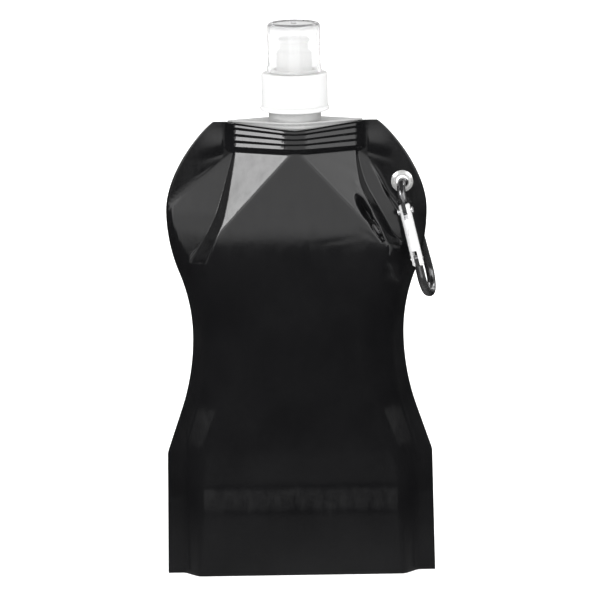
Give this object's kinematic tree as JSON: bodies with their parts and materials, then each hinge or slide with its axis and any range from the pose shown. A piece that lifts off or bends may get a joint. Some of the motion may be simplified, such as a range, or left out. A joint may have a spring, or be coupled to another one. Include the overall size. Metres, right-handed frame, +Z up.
{
  "type": "folding water bottle",
  "caption": "Flat-folding standing pouch bottle of welded film with a screw cap, push-pull valve, clear dust cover and a carabiner in its ear.",
  "frame": {"origin": "middle of the bounding box on the plane the bottle stands on", "axes": "+X to the bottle's right as seen from the front, where the carabiner hangs, +Y to the back, +Z up along the neck"},
  "size_m": [0.1288, 0.0348, 0.2635],
  "materials": {
    "black_film": "glossy laminated film",
    "white_plastic": "satin moulded plastic",
    "soft_liner": "soft foamed liner",
    "clear_plastic": "clear polished plastic",
    "nickel": "nickel plated",
    "black_aluminium": "black anodised",
    "silver_aluminium": "polished",
    "steel": "drawn wire"
  },
  "bodies": {
    "pouch_upper": {"front_panel_upper": "black_film", "back_panel_upper": "black_film", "spout_fitment": "white_plastic", "eyelet_barrel": "nickel", "eyelet_washer": "nickel"},
    "pouch_lower": {"front_panel_lower": "black_film", "back_panel_lower": "black_film", "bottom_gusset": "black_film"},
    "cap_liner": {"cap_liner": "soft_liner"},
    "screw_cap": {"screw_cap": "white_plastic"},
    "push_pull_valve": {"push_pull_valve": "white_plastic"},
    "dust_cover": {"dust_cover": "clear_plastic"},
    "carabiner": {"carabiner_frame": "black_aluminium"},
    "carabiner_gate": {"carabiner_gate": "silver_aluminium", "gate_pivot_pin": "steel", "gate_plunger": "steel", "gate_spring": "steel", "latch_pin": "steel"}
  },
  "joints": [
    {"name": "pouch_fold", "type": "hinge", "parent": "pouch_upper", "child": "pouch_lower", "pos_m": [0, 0.015, 0.1], "axis": [1, 0, 0], "range_deg": [0, 180]},
    {"name": "cap_lift", "type": "slide", "parent": "pouch_upper", "child": "cap_liner", "axis": [0, 0, 1], "range_m": [0, 0.01801]},
    {"name": "cap_turn", "type": "hinge", "parent": "cap_liner", "child": "screw_cap", "pos_m": [0, 0, 0.231], "axis": [0, 0, 1], "range_deg": [0, 810]},
    {"name": "valve_slide", "type": "slide", "parent": "screw_cap", "child": "push_pull_valve", "axis": [0, 0, 1], "range_m": [0, 0.0055]},
    {"name": "cover_lift", "type": "slide", "parent": "screw_cap", "child": "dust_cover", "axis": [0, 0, 1], "range_m": [0, 0.03]},
    {"name": "carabiner_swing", "type": "hinge", "parent": "pouch_upper", "child": "carabiner", "pos_m": [0.05, 0, 0.1875], "axis": [0, -1, 0], "range_deg": [-7, 150]},
    {"name": "gate_open", "type": "hinge", "parent": "carabiner", "child": "carabiner_gate", "pos_m": [0.05124, -0.00876, 0.17455], "axis": [0.9545, -0.1908, 0.2292], "range_deg": [0, 16], "stiffness_Nm_per_rad": 0.01, "springref_deg": -28.65}
  ],
  "couplings": [
    {"joint": "cap_lift", "follows": "cap_turn", "m_per_rad": 0.0012732}
  ]
}
